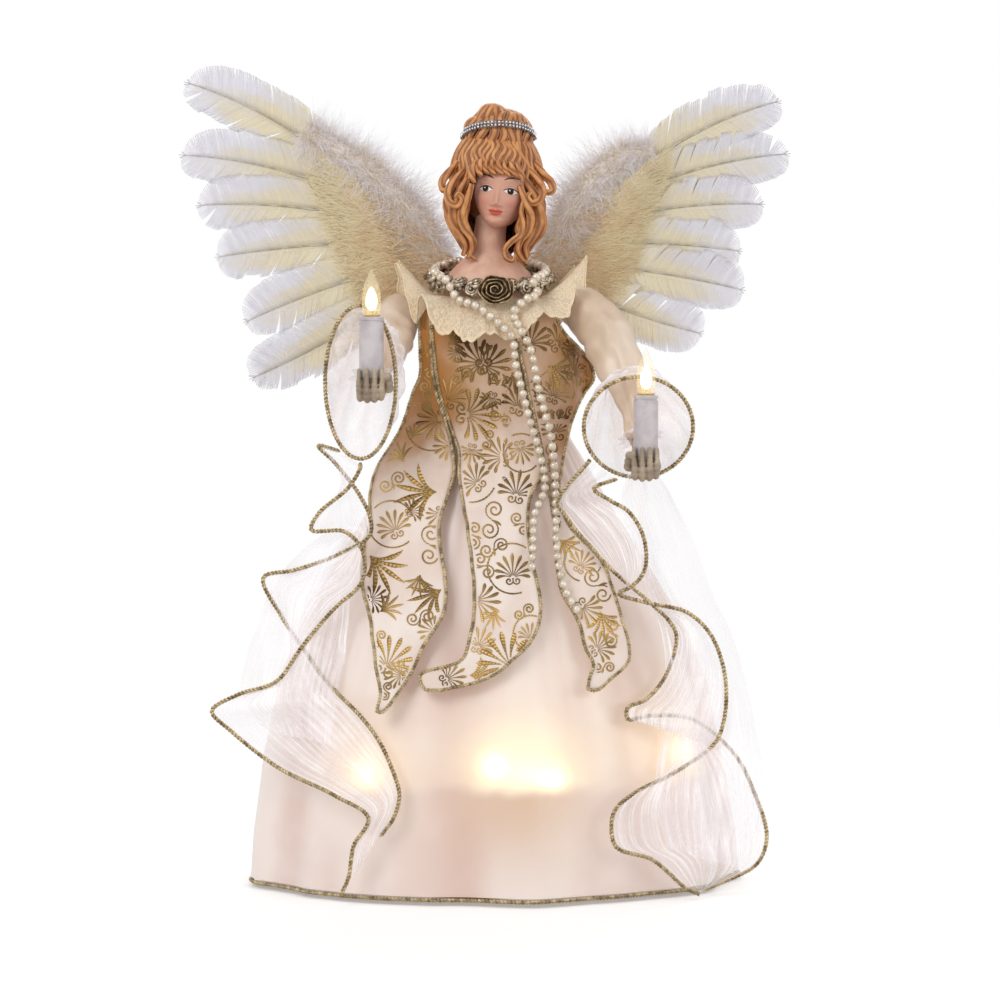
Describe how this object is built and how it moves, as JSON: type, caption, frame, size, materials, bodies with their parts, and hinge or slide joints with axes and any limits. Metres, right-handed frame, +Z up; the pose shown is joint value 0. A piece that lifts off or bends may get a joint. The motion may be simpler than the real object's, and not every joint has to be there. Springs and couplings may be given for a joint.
{
  "type": "angel tree topper",
  "caption": "Lighted angel tree topper in a satin gown, with feather wings, lit candles in both hands and a cone that fits over the tip of a tree.",
  "frame": {"origin": "centre of the tree cone's open mouth, on the plane of its rim", "axes": "+Z up the tree cone's axis, the face looks along -Y, +X to the right of someone who looks at the face"},
  "size_m": [0.2556, 0.157, 0.3322],
  "materials": {
    "cone": "moulded, slightly glossy",
    "holder": "moulded lamp holder",
    "lamp_glass": "clear glass, lit",
    "satin": "blush satin with a soft sheen",
    "printed_sheer": "blush sheer with a gold foil print and gold cord edges",
    "gold_cord": "twisted antique gold cord over wire",
    "porcelain": "painted bisque, matt",
    "hand_bisque": "unpainted bisque, matt",
    "rhinestone": "silver settings with clear stones",
    "lace": "cream lace with a fine gold edge",
    "braid": "pewter and gold rosette braid",
    "ribbon": "bronze gold metallic ribbon",
    "pearl": "ivory pearl lustre",
    "candle": "frosted white tube",
    "organza": "sheer white organza with a slight shimmer",
    "card": "plain white backing card",
    "feather": "natural feather, white vanes and pale cream towards the quill",
    "marabou": "soft white marabou down"
  },
  "bodies": {
    "figure": {"tree_cone": "cone", "skirt_lamp_holder_1": "holder", "skirt_lamp_holder_2": "holder", "skirt_lamp_holder_3": "holder", "skirt_lamp_holder_4": "holder", "skirt_lamp_holder_5": "holder", "skirt_lamp_holder_6": "holder", "skirt_lamp_1": "lamp_glass", "skirt_lamp_2": "lamp_glass", "skirt_lamp_3": "lamp_glass", "skirt_lamp_4": "lamp_glass", "skirt_lamp_5": "lamp_glass", "skirt_lamp_6": "lamp_glass", "torso": "satin", "satin_skirt": "satin", "left_sleeve": "satin", "right_sleeve": "satin", "hem_cord": "gold_cord", "left_bell_cord": "gold_cord", "right_bell_cord": "gold_cord", "left_drape_outer_cord": "gold_cord", "left_drape_inner_cord": "gold_cord", "right_drape_outer_cord": "gold_cord", "right_drape_inner_cord": "gold_cord", "overdress_left_panel": "printed_sheer", "overdress_centre_panel": "printed_sheer", "overdress_right_panel": "printed_sheer", "head_bust": "porcelain", "left_hand": "hand_bisque", "right_hand": "hand_bisque", "tiara": "rhinestone", "lace_collar": "lace", "neck_braid": "braid", "collar_rose": "ribbon", "pearl_string": "pearl", "left_candle_tube": "candle", "right_candle_tube": "candle", "left_organza_bell": "organza", "right_organza_bell": "organza", "left_drape": "organza", "right_drape": "organza"},
    "left_wing": {"left_wing_card": "card", "left_feather_1": "feather", "left_feather_2": "feather", "left_feather_3": "feather", "left_feather_4": "feather", "left_feather_5": "feather", "left_feather_6": "feather", "left_marabou": "marabou"},
    "right_wing": {"right_wing_card": "card", "right_feather_1": "feather", "right_feather_2": "feather", "right_feather_3": "feather", "right_feather_4": "feather", "right_feather_5": "feather", "right_feather_6": "feather", "right_marabou": "marabou"},
    "left_lamp": {"left_candle_lamp": "lamp_glass"},
    "right_lamp": {"right_candle_lamp": "lamp_glass"}
  },
  "joints": [
    {"name": "left_wing_hinge", "type": "hinge", "parent": "figure", "child": "left_wing", "pos_m": [-0.008, 0.0211, 0.227], "axis": [0, 0, -1], "range_deg": [0, 35]},
    {"name": "right_wing_hinge", "type": "hinge", "parent": "figure", "child": "right_wing", "pos_m": [0.008, 0.0211, 0.227], "axis": [0, 0, 1], "range_deg": [0, 35]},
    {"name": "left_lamp_slide", "type": "slide", "parent": "figure", "child": "left_lamp", "axis": [0, 0, 1], "range_m": [0, 0.013]},
    {"name": "right_lamp_slide", "type": "slide", "parent": "figure", "child": "right_lamp", "axis": [0, 0, 1], "range_m": [0, 0.013]}
  ]
}
